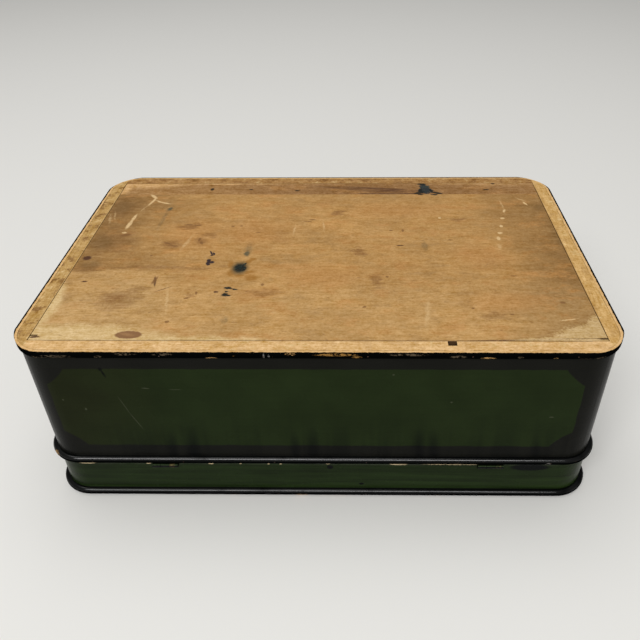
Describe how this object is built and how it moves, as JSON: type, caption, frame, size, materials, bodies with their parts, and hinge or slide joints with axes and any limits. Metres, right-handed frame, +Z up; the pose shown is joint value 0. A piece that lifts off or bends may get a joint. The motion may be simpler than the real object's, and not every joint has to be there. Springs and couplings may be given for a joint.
{
  "type": "painted wooden box",
  "caption": "Low round-cornered painted wooden box for papers with a hinged lid, bead mouldings round it and a bare wooden underside, stored turned over on its lid.",
  "frame": {"origin": "middle of the lid's flat face, on the surface that the turned-over box stands on", "axes": "+X along the long sides, +Y from the hinged back to the front, +Z up from the lid to the bare underside"},
  "size_m": [0.4, 0.254, 0.14],
  "materials": {
    "case_paint": "dark green panel in a black border, varnished, bare wood on the inside and on the edges underneath",
    "lid_paint": "dark green paint, varnished, bare wood inside",
    "underside_wood": "bare, worn and stained wood",
    "bead_paint": "gloss black paint, worn through on the edges",
    "iron": "dark and rusted",
    "hinge_brass": "dull brass, partly painted over",
    "screw_steel": "dull steel"
  },
  "bodies": {
    "lid": {"lid_top_board": "lid_paint", "lid_back_wall": "lid_paint", "lid_front_wall": "lid_paint", "lid_left_end": "lid_paint", "lid_right_end": "lid_paint", "lid_bead": "bead_paint", "lid_corner_nails": "iron", "lid_top_nails": "iron", "lid_bead_brads": "iron", "left_hinge_lid_leaf": "hinge_brass", "right_hinge_lid_leaf": "hinge_brass", "left_hinge_pin": "hinge_brass", "right_hinge_pin": "hinge_brass", "lid_hinge_screws": "screw_steel"},
    "case": {"case_back_wall": "case_paint", "case_front_wall": "case_paint", "case_left_end": "case_paint", "case_right_end": "case_paint", "bottom_board": "underside_wood", "bottom_strip": "underside_wood", "rim_bead": "bead_paint", "base_bead": "bead_paint", "case_corner_nails": "iron", "bottom_nails": "iron", "rim_bead_brads": "iron", "base_bead_brads": "iron", "left_hinge_case_leaf": "hinge_brass", "right_hinge_case_leaf": "hinge_brass", "case_hinge_screws": "screw_steel"}
  },
  "joints": [
    {"name": "lid_hinge", "type": "hinge", "parent": "lid", "child": "case", "pos_m": [0, -0.1252, 0.033], "axis": [1, 0, 0], "range_deg": [0, 105]}
  ]
}
